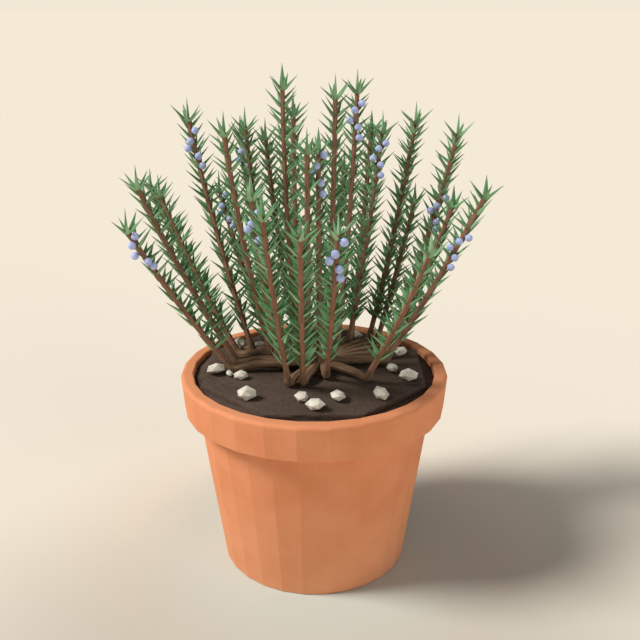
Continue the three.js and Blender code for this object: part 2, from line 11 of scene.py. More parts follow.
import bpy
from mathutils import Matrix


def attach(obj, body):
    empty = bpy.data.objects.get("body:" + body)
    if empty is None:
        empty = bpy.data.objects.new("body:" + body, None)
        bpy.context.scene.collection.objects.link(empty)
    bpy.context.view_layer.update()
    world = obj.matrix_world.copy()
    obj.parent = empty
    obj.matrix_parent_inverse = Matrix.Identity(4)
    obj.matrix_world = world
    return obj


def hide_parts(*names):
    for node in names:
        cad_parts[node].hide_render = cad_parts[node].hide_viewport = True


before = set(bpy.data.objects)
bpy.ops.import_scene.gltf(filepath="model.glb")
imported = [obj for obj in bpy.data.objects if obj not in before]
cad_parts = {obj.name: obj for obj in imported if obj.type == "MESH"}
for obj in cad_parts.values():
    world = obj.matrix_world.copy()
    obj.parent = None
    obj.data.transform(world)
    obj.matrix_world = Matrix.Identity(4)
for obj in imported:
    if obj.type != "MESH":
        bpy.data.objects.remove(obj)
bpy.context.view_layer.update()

# %% Tools for the whole lesson
import functools
import math
import random

import bmesh
import bpy
from mathutils import Vector, geometry, noise

MM = 0.001
scene = bpy.context.scene


def linear(colour):
    """An sRGB hex colour as the linear light that shaders work in."""
    channels = [int(colour[i : i + 2], 16) / 255 for i in (1, 3, 5)]
    bent = [c / 12.92 if c <= 0.04045 else ((c + 0.055) / 1.055) ** 2.4 for c in channels]
    return (*bent, 1.0)


def feed(node, inputs):
    """Gives each input a value, or links it to an output. A node stands for its first output."""
    for name, value in inputs.items():
        if isinstance(value, bpy.types.Node):
            value = value.outputs[0]
        if isinstance(value, bpy.types.NodeSocket):
            node.id_data.links.new(value, node.inputs[name])
        else:
            node.inputs[name].default_value = value


def add_node(tree, kind, inputs=None, **settings):
    """Adds a node, sets it up and feeds its inputs."""
    node = tree.nodes.new(kind)
    for name, value in settings.items():
        setattr(node, name, value)
    feed(node, inputs or {})
    return node


# %% [markdown]
# ## The camera
#
# The picture was taken from a little above, looking down at the plant. The angle, the distance and the
# focal length below were worked out from the pot, whose rim and foot are circles, at its assumed size. A
# camera in Blender looks along its own -Z, so turning it by 90 degrees less the tilt about X makes it
# look ahead and down.

# %% Make the camera
TILT = math.radians(19.896)
DISTANCE = 580.69
AIM = Vector((3.912, 0, 171.23))
PICTURE_WIDTH = 640  # pixels
FOCAL_LENGTH = 869.62  # pixels

lens = bpy.data.cameras.new("camera")
lens.sensor_width = 36
lens.lens = lens.sensor_width * FOCAL_LENGTH / PICTURE_WIDTH
camera = bpy.data.objects.new("camera", lens)
camera.location = (AIM + DISTANCE * Vector((0, -math.cos(TILT), math.sin(TILT)))) * MM
camera.rotation_euler = (math.pi / 2 - TILT, 0, 0)
scene.collection.objects.link(camera)
scene.camera = camera
print("lens:", round(lens.lens, 2), "mm, camera at", camera.location[:])

# %% [markdown]
# ## Materials
#
# Each material is named for what it is and how its surface came about. A pattern is laid out in metres,
# because Object coordinates are, so a pattern that repeats every 4 mm has a scale of 250. The helper
# `per_metre` does that sum. `new_material` starts a material, and what it calls `add` adds a node to it.


# %% Start a material
def per_metre(size):
    """The scale of a pattern whose features are this many millimetres apart."""
    return 1 / (size * MM)


def new_material(name):
    """A material, what adds a node to its tree, its Principled shader and the Object coordinates."""
    material = bpy.data.materials.new(name)
    material.use_nodes = True
    tree = material.node_tree
    add = functools.partial(add_node, tree)
    return material, add, tree.nodes["Principled BSDF"], add("ShaderNodeTexCoord").outputs["Object"]


def set_ramp(ramp, low, high):
    """Sets the two ends of a colour ramp, each a position and a colour."""
    for end, (position, colour) in zip(ramp.color_ramp.elements, (low, high)):
        end.position = position
        end.color = linear(colour)


# %% [markdown]
# ### Terracotta, fired and left bare
#
# Unglazed clay is matt and dusty. Its colour drifts in soft blotches a few centimetres wide, where the
# kiln was hotter or the clay thinner, and its skin has grains and pits of a millimetre or two. So there
# are two noises, a broad one for the colour and a fine one for the specks and the bump. Towards the foot
# the clay is painted a lighter, warmer orange: painted bounce light from the floor.


# %% Terracotta
def terracotta():
    material, add, shader, place = new_material("terracotta_fired_unglazed")
    blotch = add(
        "ShaderNodeTexNoise", {"Vector": place, "Scale": per_metre(38), "Detail": 5.0, "Roughness": 0.6}
    )
    body = add("ShaderNodeValToRGB", {"Fac": blotch})
    set_ramp(body, (0.3, "#da8759"), (0.72, "#e7976a"))
    grain = add(
        "ShaderNodeTexNoise", {"Vector": place, "Scale": per_metre(1.6), "Detail": 6.0, "Roughness": 0.7}
    )
    speck = add("ShaderNodeMapRange", {"Value": grain, "From Min": 0.56, "From Max": 0.74, "To Max": 0.35})
    colour = add("ShaderNodeMix", {0: speck, 6: body, 7: linear("#e8b08c")}, data_type="RGBA")
    height = add("ShaderNodeSeparateXYZ", {0: place}).outputs["Z"]
    # Painted light: towards the foot the clay is painted lighter and warmer, standing in for light bounced
    # from the floor.
    painted_bounce_share = add("ShaderNodeMapRange", {"Value": height, "From Max": 75 * MM, "To Min": 0.22, "To Max": 0.0})
    clay_with_painted_bounce = add("ShaderNodeMix", {0: painted_bounce_share, 6: colour.outputs[2], 7: linear("#f0b488")}, data_type="RGBA")
    rough = add("ShaderNodeMapRange", {"Value": grain, "To Min": 0.8, "To Max": 0.95})
    bump = add("ShaderNodeBump", {"Height": grain, "Strength": 0.35, "Distance": 0.3 * MM})
    feed(
        shader,
        {"Base Color": clay_with_painted_bounce.outputs[2], "Roughness": rough, "Normal": bump, "Specular IOR Level": 0.3},
    )
    return material


clay = terracotta()
print("made", clay.name)

# %% [markdown]
# ### Potting soil, damp and pressed
#
# Potting soil is mostly peat and bark fines. It is nearly black where it is damp and a dull brown where
# its crumbs have dried, and it has hardly any gloss. A fine noise drives the bump and, together with a
# broad one for the damp patches, the colour, so that the high crumbs are the dry ones.


# %% Potting soil
def potting_soil():
    material, add, shader, place = new_material("potting_soil_damp")
    crumbs = add(
        "ShaderNodeTexNoise", {"Vector": place, "Scale": per_metre(2.2), "Detail": 6.0, "Roughness": 0.7}
    )
    damp = add("ShaderNodeTexNoise", {"Vector": place, "Scale": per_metre(26), "Detail": 3.0})
    mixed = add("ShaderNodeMath", {0: crumbs, 1: damp}, operation="ADD")
    half = add("ShaderNodeMath", {0: mixed, 1: 0.5}, operation="MULTIPLY")
    colour = add("ShaderNodeValToRGB", {"Fac": half})
    set_ramp(colour, (0.36, "#4b3d33"), (0.66, "#605045"))
    bump = add("ShaderNodeBump", {"Height": crumbs, "Strength": 0.7, "Distance": 0.8 * MM})
    feed(shader, {"Base Color": colour, "Normal": bump, "Roughness": 1.0, "Specular IOR Level": 0.1})
    return material


earth = potting_soil()
print("made", earth.name)

# %% [markdown]
# ### Rosemary bark, fibrous and dry
#
# The bark of a rosemary splits into fine strips that run along the stem. The pattern therefore can't be
# laid out in space: it has to follow each stem. The tree that makes the stems leaves two attributes on
# them, `around`, a place on the section, and `along`, the distance from the foot. Squeezing `along` makes
# a noise of long streaks. The bark of the crown is the same, only darker: partly older bark, and partly
# painted shade, since the crown lies in the shade of the foliage.


# %% Bark
def bark(name, furrows, ridges):
    material, add, shader, _ = new_material(name)
    around = add("ShaderNodeAttribute", attribute_name="around")
    along = add("ShaderNodeAttribute", attribute_name="along")
    STREAK = 0.12  # the width of a strip of bark, as a share of its length
    squeezed = add("ShaderNodeMath", {0: along.outputs["Fac"], 1: STREAK}, operation="MULTIPLY")
    section = add("ShaderNodeSeparateXYZ", {0: around.outputs["Vector"]})
    place = add("ShaderNodeCombineXYZ", {"X": section.outputs["X"], "Y": section.outputs["Y"], "Z": squeezed})
    strips = add(
        "ShaderNodeTexNoise", {"Vector": place, "Scale": per_metre(1.1), "Detail": 5.0, "Roughness": 0.65}
    )
    colour = add("ShaderNodeValToRGB", {"Fac": strips})
    set_ramp(colour, (0.32, furrows), (0.7, ridges))
    bump = add("ShaderNodeBump", {"Height": strips, "Strength": 0.5, "Distance": 0.3 * MM})
    feed(shader, {"Base Color": colour, "Normal": bump, "Roughness": 0.85, "Specular IOR Level": 0.25})
    return material


wood = bark("rosemary_bark_fibrous", "#765240", "#9e7259")
# The crown's bark is darker, partly as old bark and partly as painted shade from the foliage above it.
old_and_shaded_wood = bark("rosemary_bark_old_with_painted_shade", "#5e4734", "#8a6c50")
print("made", wood.name, "and", old_and_shaded_wood.name)

# %% [markdown]
# ### Rosemary leaf, waxy above and felted below
#
# A rosemary needle is a leaf whose edges are rolled under. Its upper side is a deep green with a thin
# wax, and its underside is covered in white hairs too fine to see one by one, so it looks a paler,
# greyer green and quite matt. Each needle differs a little from the next, is yellower at its root and
# browner at its very point. The attributes `tone`, `along` and `underside` carry all of that from the
# tree that grows the needles.


# %% Needle
def needle_leaf():
    material, add, shader, place = new_material("rosemary_leaf_waxy")
    tone, along, under = (
        add("ShaderNodeAttribute", attribute_name=name).outputs["Fac"]
        for name in ("tone", "along", "underside")
    )
    upper = add("ShaderNodeValToRGB", {"Fac": tone})
    set_ramp(upper, (0, "#50804f"), (1, "#6fa26c"))
    lower = add("ShaderNodeValToRGB", {"Fac": tone})
    set_ramp(lower, (0, "#7ba177"), (1, "#9fbf95"))
    sides = add("ShaderNodeMix", {0: under, 6: upper, 7: lower}, data_type="RGBA")
    root = add("ShaderNodeMapRange", {"Value": along, "From Max": 0.25, "To Min": 0.35, "To Max": 0.0})
    rooted = add("ShaderNodeMix", {0: root, 6: sides.outputs[2], 7: linear("#7f9a58")}, data_type="RGBA")
    point = add("ShaderNodeMapRange", {"Value": along, "From Min": 0.7, "From Max": 0.95, "To Max": 0.7})
    pointed = add("ShaderNodeMix", {0: point, 6: rooted.outputs[2], 7: linear("#6a4f3c")}, data_type="RGBA")
    pores = add("ShaderNodeTexNoise", {"Vector": place, "Scale": per_metre(0.7), "Detail": 3.0})
    bump = add("ShaderNodeBump", {"Height": pores, "Strength": 0.25, "Distance": 0.15 * MM})
    rough = add("ShaderNodeMapRange", {"Value": under, "To Min": 0.55, "To Max": 0.95})
    feed(
        shader,
        {"Base Color": pointed.outputs[2], "Roughness": rough, "Normal": bump, "Specular IOR Level": 0.4},
    )
    return material


leaf = needle_leaf()
print("made", leaf.name)

# %% [markdown]
# ### Flower bud, velvety petals
#
# The buds are a pale lavender blue. Petals are thin and slightly velvety, so a little sheen lifts their
# edges. The folds between petals are a shade more violet.


# %% Petals and their green cup
def petals():
    material, add, shader, place = new_material("rosemary_petals_velvety")
    folds = add("ShaderNodeTexNoise", {"Vector": place, "Scale": per_metre(2.4), "Detail": 3.0})
    colour = add("ShaderNodeValToRGB", {"Fac": folds})
    set_ramp(colour, (0.3, "#a0abdd"), (0.65, "#c0c9f0"))
    bump = add("ShaderNodeBump", {"Height": folds, "Strength": 0.3, "Distance": 0.3 * MM})
    feed(shader, {"Base Color": colour, "Normal": bump, "Roughness": 0.7, "Sheen Weight": 0.2})
    return material


def bud_cup():
    material, add, shader, place = new_material("rosemary_bud_cup_downy")
    mottle = add("ShaderNodeTexNoise", {"Vector": place, "Scale": per_metre(1.2), "Detail": 3.0})
    colour = add("ShaderNodeValToRGB", {"Fac": mottle})
    set_ramp(colour, (0.35, "#5c6a55"), (0.65, "#7c7a80"))
    feed(shader, {"Base Color": colour, "Roughness": 0.9})
    return material


petal, cup = petals(), bud_cup()
print("made", petal.name, "and", cup.name)

# %% [markdown]
# ### Crushed limestone, weathered
#
# The chips are broken from a pale, warm stone. Broken faces are matt and sugary, and drift from cream
# to grey.


# %% Limestone
def limestone():
    material, add, shader, place = new_material("limestone_crushed")
    cloud = add(
        "ShaderNodeTexNoise", {"Vector": place, "Scale": per_metre(6), "Detail": 5.0, "Roughness": 0.6}
    )
    colour = add("ShaderNodeValToRGB", {"Fac": cloud})
    set_ramp(colour, (0.28, "#b9ae9b"), (0.6, "#e2d9c8"))
    sugar = add(
        "ShaderNodeTexNoise", {"Vector": place, "Scale": per_metre(0.9), "Detail": 4.0, "Roughness": 0.7}
    )
    bump = add("ShaderNodeBump", {"Height": sugar, "Strength": 0.4, "Distance": 0.25 * MM})
    feed(shader, {"Base Color": colour, "Normal": bump, "Roughness": 0.88, "Specular IOR Level": 0.3})
    return material


stone = limestone()
print("made", stone.name)

# %% [markdown]
# ## Geometry Nodes, and how a piece is finished
#
# A tree of Geometry Nodes is a recipe: it takes an outline, a path or some points, and a few named
# sizes, and gives back a mesh. `new_recipe` starts one with those inputs. `grow` puts the recipe on an
# object and sets the sizes that differ from the recipe's own. A modifier knows its inputs by an
# identifier and not by their names, so the names are looked up first.
#
# A live recipe is no use to other programs, so `keep` takes the finished mesh, drops the recipe, and
# lets the piece ride on the plant's one body. `replaces` hides the plain solid that it stands for.


# %% Recipes and finished pieces
def new_recipe(name, sizes):
    """A tree with a geometry input and named inputs, and the nodes that give and take them."""
    tree = bpy.data.node_groups.new(name, "GeometryNodeTree")
    tree.interface.new_socket("Geometry", in_out="INPUT", socket_type="NodeSocketGeometry")
    for label, value in sizes.items():
        kind = "NodeSocketInt" if isinstance(value, int) else "NodeSocketFloat"
        socket = tree.interface.new_socket(label, in_out="INPUT", socket_type=kind)
        socket.default_value = value
    tree.interface.new_socket("Geometry", in_out="OUTPUT", socket_type="NodeSocketGeometry")
    return tree, functools.partial(add_node, tree), tree.nodes.new("NodeGroupInput").outputs


def give(add, made, material):
    """Ends a recipe: real copies instead of instances, and a material."""
    real = add("GeometryNodeRealizeInstances", {"Geometry": made})
    painted = add("GeometryNodeSetMaterial", {"Geometry": real, "Material": material})
    add("NodeGroupOutput", {0: painted})


def grow(piece, tree, sizes=None):
    """Puts a recipe on an object, with the sizes that differ from the recipe's own."""
    modifier = piece.modifiers.new(tree.name, "NODES")
    modifier.node_group = tree
    identifiers = {s.name: s.identifier for s in tree.interface.items_tree if s.in_out == "INPUT"}
    for label, value in (sizes or {}).items():
        modifier[identifiers[label]] = value


def new_object(name, data):
    piece = bpy.data.objects.new(name, data)
    scene.collection.objects.link(piece)
    return piece


def new_paths(name):
    curve = bpy.data.curves.new(name, "CURVE")
    curve.dimensions = "3D"
    return curve


def keep(piece, replaces=()):
    """The finished piece as a plain mesh that rides on the plant and stands for its solids."""
    shape = piece.evaluated_get(bpy.context.evaluated_depsgraph_get())
    mesh = bpy.data.meshes.new_from_object(shape)
    name = piece.name
    bpy.data.objects.remove(piece)
    finished = new_object(name, mesh)
    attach(finished, "root")
    if replaces:
        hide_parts(*replaces)
    return finished


def ease(piece, width, segments, angle):
    """Takes the sharpness off the edges that bend by more than an angle in degrees."""
    bevel = piece.modifiers.new("eased", "BEVEL")
    bevel.width = width * MM
    bevel.segments = segments
    bevel.limit_method = "ANGLE"
    bevel.angle_limit = math.radians(angle)
    return bevel


def soften(add, mesh, angle):
    """Smooth shading, but for edges that are sharper than an angle in degrees."""
    smooth = add("GeometryNodeSetShadeSmooth", {"Geometry": mesh, "Shade Smooth": True})
    bend = add("GeometryNodeInputMeshEdgeAngle")
    sharp = add(
        "FunctionNodeCompare",
        {0: bend.outputs["Unsigned Angle"], 1: math.radians(angle)},
        operation="GREATER_THAN",
    )
    return add(
        "GeometryNodeSetShadeSmooth",
        {"Geometry": smooth, "Selection": sharp, "Shade Smooth": False},
        domain="EDGE",
    )


# %% [markdown]
# ## The pot
#
# The pot is turned on a wheel and then faceted into 28 flats. One outline says everything: up the
# outside, over the lip and down the inside. A lathe could be the Spin tool or the Screw modifier. Here it
# is Curve to Mesh round a circle of 28 points, because the number of flats is then one input.
#
# Curve to Mesh measures the outline from the circle's own radius, so that radius is taken off first, and
# it points the outline's Y downwards. The two ends of the outline lie on the axis, where 28 points fall
# together: merging them closes the pot. A Bevel takes the sharpness off every arris, as glass paper does.

# %% The pot's sizes
FLATS = 28
POT_HEIGHT = 137
LIP_RADIUS = 90
LIP_ROUND = 2.6
RIM_HEIGHT = 24.8
RIM_FOOT_RADIUS = 88.3
RIM_INNER_RADIUS = 81.4
NECK_RADIUS = 79.7
FOOT_RADIUS = 64.6
WALL = 5.8
FLOOR = 8
DRAIN_HOLES = 3
DRAIN_RADIUS = 6
DRAIN_RING = 30
FOOT_ROUND = 1.2
RIM_FOOT_ROUND = 1
RIM_INNER_ROUND = 1.6
LIP_BULGE = 0.9  # how far the rim swells inwards at half its height
SPINDLE = 100  # radius of the circle that the outline is swept round
GAP = 0.3  # between pieces that touch
TOGETHER = 0.01  # points of a recipe that are closer than this are one


def arc(centre, radius, start, stop, steps):
    """Points of an arc of an outline, as (distance from the axis, height)."""
    turns = [math.radians(start + (stop - start) * i / steps) for i in range(steps + 1)]
    return [(centre[0] + radius * math.cos(a), centre[1] + radius * math.sin(a)) for a in turns]


under_rim = POT_HEIGHT - RIM_HEIGHT
floor_radius = FOOT_RADIUS + (NECK_RADIUS - FOOT_RADIUS) * FLOOR / under_rim - WALL
pot_outline = [
    (0, 0),
    *arc((FOOT_RADIUS - FOOT_ROUND, FOOT_ROUND), FOOT_ROUND, -90, 0, 3),
    (NECK_RADIUS, under_rim),
    *arc((RIM_FOOT_RADIUS - RIM_FOOT_ROUND, under_rim + RIM_FOOT_ROUND), RIM_FOOT_ROUND, -90, 0, 3),
    *arc((LIP_RADIUS - LIP_ROUND, POT_HEIGHT - LIP_ROUND), LIP_ROUND, 0, 90, 4),
    *arc((RIM_INNER_RADIUS + RIM_INNER_ROUND, POT_HEIGHT - RIM_INNER_ROUND), RIM_INNER_ROUND, 90, 180, 4),
    (RIM_INNER_RADIUS - LIP_BULGE, POT_HEIGHT - RIM_HEIGHT / 2),
    (NECK_RADIUS - WALL, under_rim),
    (floor_radius, FLOOR),
    (0, FLOOR),
]
print("the pot's outline has", len(pot_outline), "points")


# %% The recipe of a turned vessel
def turned_vessel():
    sizes = {
        "Flats": FLATS,
        "Spindle": SPINDLE * MM,
        "Holes": DRAIN_HOLES,
        "Hole Radius": DRAIN_RADIUS * MM,
        "Hole Ring": DRAIN_RING * MM,
        "Floor": FLOOR * MM,
    }
    tree, add, given = new_recipe("turned_vessel", sizes)
    wheel = add(
        "GeometryNodeCurvePrimitiveCircle", {"Resolution": given["Flats"], "Radius": given["Spindle"]}
    )
    swept = add("GeometryNodeCurveToMesh", {"Curve": wheel, "Profile Curve": given["Geometry"]})
    closed = add("GeometryNodeMergeByDistance", {"Geometry": swept, "Distance": TOGETHER * MM})
    half_flat = add("ShaderNodeMath", {0: math.pi, 1: given["Flats"]}, operation="DIVIDE")
    spin = add("ShaderNodeCombineXYZ", {"Z": half_flat})
    faced = add("GeometryNodeTransform", {"Geometry": closed, "Rotation": spin})
    drill_depth = add("ShaderNodeMath", {0: given["Floor"], 1: 3.0}, operation="MULTIPLY")
    drill = add(
        "GeometryNodeMeshCylinder", {"Vertices": 32, "Radius": given["Hole Radius"], "Depth": drill_depth}
    )
    ring = add("GeometryNodeMeshCircle", {"Vertices": given["Holes"], "Radius": given["Hole Ring"]})
    turned_ring = add("GeometryNodeTransform", {"Geometry": ring, "Rotation": (0, 0, math.pi / 2)})
    drills = add("GeometryNodeInstanceOnPoints", {"Points": turned_ring, "Instance": drill})
    drilled = add(
        "GeometryNodeMeshBoolean", {"Mesh 1": faced, "Mesh 2": drills}, operation="DIFFERENCE", solver="EXACT"
    )
    give(add, drilled, clay)
    return tree


def outline_curve(name, outline):
    """An outline of (distance from the axis, height) as a curve that a vessel is turned from."""
    curve = new_paths(name)
    spline = curve.splines.new("POLY")
    spline.points.add(len(outline) - 1)
    for point, (radius, height) in zip(spline.points, outline):
        point.co = ((radius - SPINDLE) * MM, -height * MM, 0, 1)
    return new_object(name, curve)


vessel = turned_vessel()
pot = outline_curve("terracotta_pot", pot_outline)
grow(pot, vessel)
pot = keep(pot, replaces=["pot"])

# %% Ease the pot's arrises
ease(pot, width=0.9, segments=2, angle=9).harden_normals = True
print("pot:", len(pot.data.polygons), "faces before its arrises are eased")

# %% [markdown]
# ## The soil
#
# The soil has drawn back from the wall as it dried: a low heap with eight rough sides stands on a bed, with
# a dark gap all round. The top of the heap is a net of jittered points, joined by Delaunay triangles so
# that no rows show, and raised by two noises: swells of a few centimetres and clods of one. Below, the
# bed follows the inside of the pot, and it shows through the drainage holes.

# %% Height of the soil
BED_HEIGHT = 133.5
HEAP_SIDES = 8
HEAP_RADIUS = 79.4
HEAP_EDGE = 137
HEAP_RISE = 1.8
SOIL_PITCH = 2.1
JOLT = 0.3  # of the pitch, how far a point is moved from its row
SWELL_SIZE, SWELL_HEIGHT = 24, 0.5
CLOD_SIZE, CLOD_HEIGHT = 6, 0.25
SETTLED = 0.15  # how far the soil lies under the solids' on average
EDGE_ROUGHNESS = 0.5
EDGE_LUMPS = 9  # the heap's radius, in lumps of its rough edge
EDGE_INSET = 0.3
EDGE_POINTS = 9 * FLATS
SOIL_SEED = 5


def soil_height(x, y):
    """Height of the top of the heap, as in the solids."""
    share = min(1, math.hypot(x, y) / HEAP_RADIUS)
    return HEAP_EDGE + HEAP_RISE * (1 - share * share)


def clods(x, y):
    """How far the soil stands over its heap or lies under it."""
    broad = noise.noise(Vector((x, y, 0)) / SWELL_SIZE)
    fine = noise.noise(Vector((x, y, 50)) / CLOD_SIZE)
    return SWELL_HEIGHT * broad + CLOD_HEIGHT * fine - SETTLED


# %% Lay the soil
def side_distance(angle, radius, sides, corner):
    """Distance from the axis to the side of a polygon with a corner at some angle."""
    step = math.tau / sides
    off = (angle - corner) % step - step / 2
    return radius * math.cos(step / 2) / math.cos(off)


def heap_point(angle, radius, height):
    """A point on the rough edge of the heap."""
    place = Vector((math.cos(angle), math.sin(angle), height / EDGE_LUMPS)) * EDGE_LUMPS
    ragged = EDGE_ROUGHNESS * noise.noise(place)
    reach = side_distance(angle, radius, HEAP_SIDES, math.pi / HEAP_SIDES) + ragged - EDGE_INSET
    return Vector((reach * math.cos(angle), reach * math.sin(angle), height))


def bed_point(angle, radius, height):
    """A point on the inside of the pot, clear of it by the gap."""
    reach = side_distance(angle, radius - GAP, FLATS, math.pi / FLATS - math.pi / 2)
    return Vector((reach * math.cos(angle), reach * math.sin(angle), height))


def lay_soil():
    chance = random.Random(SOIL_SEED)
    turns = [math.tau * i / EDGE_POINTS for i in range(EDGE_POINTS)]
    flat = [heap_point(a, HEAP_RADIUS - 1, HEAP_EDGE).to_2d() for a in turns]
    steps = int(HEAP_RADIUS / SOIL_PITCH) + 1
    for i in range(-steps, steps + 1):
        for j in range(-steps, steps + 1):
            jolt = Vector((chance.uniform(-JOLT, JOLT), chance.uniform(-JOLT, JOLT)))
            point = (Vector((i, j)) + jolt) * SOIL_PITCH
            angle = math.atan2(point.y, point.x)
            if point.length < heap_point(angle, HEAP_RADIUS - 3, HEAP_EDGE).to_2d().length:
                flat.append(point)
    ring = [(i, (i + 1) % EDGE_POINTS) for i in range(EDGE_POINTS)]
    points, _, faces, *_ = geometry.delaunay_2d_cdt(flat, ring, [], 1, 1e-4)
    form = bmesh.new()
    top = [form.verts.new((p.x, p.y, soil_height(p.x, p.y) + clods(p.x, p.y))) for p in points]
    for corners in faces:
        form.faces.new([top[i] for i in corners])
    # Down the side of the heap, and on down the inside of the pot: (kind of point, radius, height).
    levels = [
        (heap_point, HEAP_RADIUS - 0.3, HEAP_EDGE - 0.5),
        (heap_point, HEAP_RADIUS, HEAP_EDGE - 1.6),
        (heap_point, HEAP_RADIUS + 0.2, BED_HEIGHT),
        (bed_point, RIM_INNER_RADIUS - 0.2, BED_HEIGHT),
        (bed_point, NECK_RADIUS - WALL, under_rim),
        (bed_point, floor_radius, FLOOR + GAP),
    ]
    rows = [top[:EDGE_POINTS], *([form.verts.new(kind(a, r, z)) for a in turns] for kind, r, z in levels)]
    for upper, lower in zip(rows, rows[1:]):
        for i, j in ring:
            form.faces.new([upper[i], lower[i], lower[j], upper[j]])
    form.faces.new(list(reversed(rows[-1])))
    bmesh.ops.scale(form, vec=(MM, MM, MM), verts=form.verts)
    bmesh.ops.recalc_face_normals(form, faces=form.faces)
    mesh = bpy.data.meshes.new("potting_soil")
    form.to_mesh(mesh)
    form.free()
    mesh.materials.append(earth)
    for face in mesh.polygons:
        face.use_smooth = abs(face.normal.z) > 0.5
    return mesh


soil = new_object("potting_soil", lay_soil())
print("soil:", len(soil.data.polygons), "faces")

# %% [markdown]
# ### Crumbs on the soil
#
# Loose crumbs lie on top. They repeat, so a recipe scatters them: points at random on the faces that look
# up, and on each a small squashed ball, turned and scaled at random from a fixed seed.


# %% The recipe of the crumbs
def scattered_crumbs():
    tree, add, given = new_recipe(
        "scattered_crumbs",
        {"Crumbs per Square Metre": 40000.0, "Smallest": 0.7 * MM, "Largest": 1.6 * MM, "Seed": 3},
    )
    normal = add("GeometryNodeInputNormal")
    lean = add("ShaderNodeSeparateXYZ", {0: normal})
    faces_up = add("FunctionNodeCompare", {0: lean.outputs["Z"], 1: 0.5}, operation="GREATER_THAN")
    points = add(
        "GeometryNodeDistributePointsOnFaces",
        {
            "Mesh": given["Geometry"],
            "Selection": faces_up,
            "Density": given["Crumbs per Square Metre"],
            "Seed": given["Seed"],
        },
    )
    ball = add("GeometryNodeMeshIcoSphere", {"Radius": 0.5, "Subdivisions": 1})
    squashed = add("GeometryNodeTransform", {"Geometry": ball, "Scale": (1.0, 0.8, 0.6)})
    turn = add(
        "FunctionNodeRandomValue",
        {1: (math.tau, math.tau, math.tau), "Seed": given["Seed"]},
        data_type="FLOAT_VECTOR",
    )
    size = add("FunctionNodeRandomValue", {2: given["Smallest"], 3: given["Largest"], "Seed": given["Seed"]})
    crumbs = add(
        "GeometryNodeInstanceOnPoints",
        {"Points": points, "Instance": squashed, "Rotation": turn, "Scale": size.outputs[1]},
    )
    give(add, crumbs, earth)
    return tree


crumbs = new_object("soil_crumbs", soil.data.copy())
grow(crumbs, scattered_crumbs())
crumbs = keep(crumbs)
soil = keep(soil, replaces=["soil"])
BALL_FACES = 20  # of a crumb
print("crumbs:", len(crumbs.data.polygons) // BALL_FACES)

# %% [markdown]
# ## The course of each stem
#
# A branch of the crown leaves the trunk, arches over the soil and turns up at its elbow into a short
# stub. The leafy stem carries on from there, nearly straight, to its end. The places below are those of
# the solids: where each stem turns up from the soil, and where it ends.

# %% Where the stems stand and end
STEMS = [
    # left side
    ((-55, -11), (-117, -16, 237)),
    ((-52, 0), (-114, 8, 260)),
    ((-53, 16), (-107, 46, 247)),
    ((-56, 26), (-118, 76, 246)),
    ((-42, 14), (-86, 56, 297)),
    ((-34, 42), (-69, 78, 244)),
    ((-28, 3), (-57, 12, 293)),
    ((-23, -7), (-37, -38, 263)),
    # back
    ((-26, 29), (-48, 66, 290)),
    ((-23, 45), (-54, 94, 281)),
    ((-14, 41), (-35, 80, 281)),
    ((-12, 26), (-14, 46, 302)),
    ((10, 46), (22, 100, 257)),
    ((24, 30), (48, 76, 286)),
    ((26, 41), (41, 90, 285)),
    ((39, 41), (72, 82, 292)),
    # middle
    ((-11, 11), (-20, 24, 321)),
    ((-4, -19), (-4, -12, 286)),
    ((9, 14), (14, 36, 314)),
    ((16, 26), (29, 54, 316)),
    # front
    ((-16, -36), (-28, -78, 260)),
    ((-7, -35), (-7, -86, 251)),
    ((8, -24), (14, -80, 250)),
    # right side
    ((34, -28), (69, -52, 232)),
    ((48, 1), (114, 26, 250)),
    ((50, 13), (94, 34, 242)),
    ((53, 28), (98, 54, 287)),
    ((44, 33), (73, 80, 235)),
    # from the top of the trunk
    ((4, -10), (3, -5, 285)),
]
LEADER = len(STEMS) - 1
TRUNK = (4, -10)
TRUNK_TOP = 26
BRANCH_RADIUS = 2.9
STUB = 7
STEM_BOW = 0.04


def course(number):
    """A stem's elbow, the end of its stub, the control point of its curve, and its end."""
    (x, y), end = STEMS[number]
    lift = TRUNK_TOP if number == LEADER else BRANCH_RADIUS + GAP
    elbow = Vector((x, y, soil_height(x, y) + lift))
    end = Vector(end)
    outward = Vector((end.x - x, end.y - y, 0)).normalized()
    control = elbow.lerp(end, 0.5) + outward * STEM_BOW * (end - elbow).length
    stub = 0 if number == LEADER else STUB
    return elbow, elbow + (control - elbow).normalized() * stub, control, end


print("stems:", len(STEMS))

# %% [markdown]
# ## A rod of bark
#
# The trunk, the branches and the stems are all rods that follow a path and change in thickness. One
# recipe makes them: it steps along the path, swells a little at each whorl of leaves, as a stem does where
# leaves grow and fall, and sweeps a section of six or seven sides along it. A rosemary's young stems are
# angular, as in the whole mint family, so the section stays angular too.
#
# On the way it notes `along` on the path and `around` on the section, for the bark.


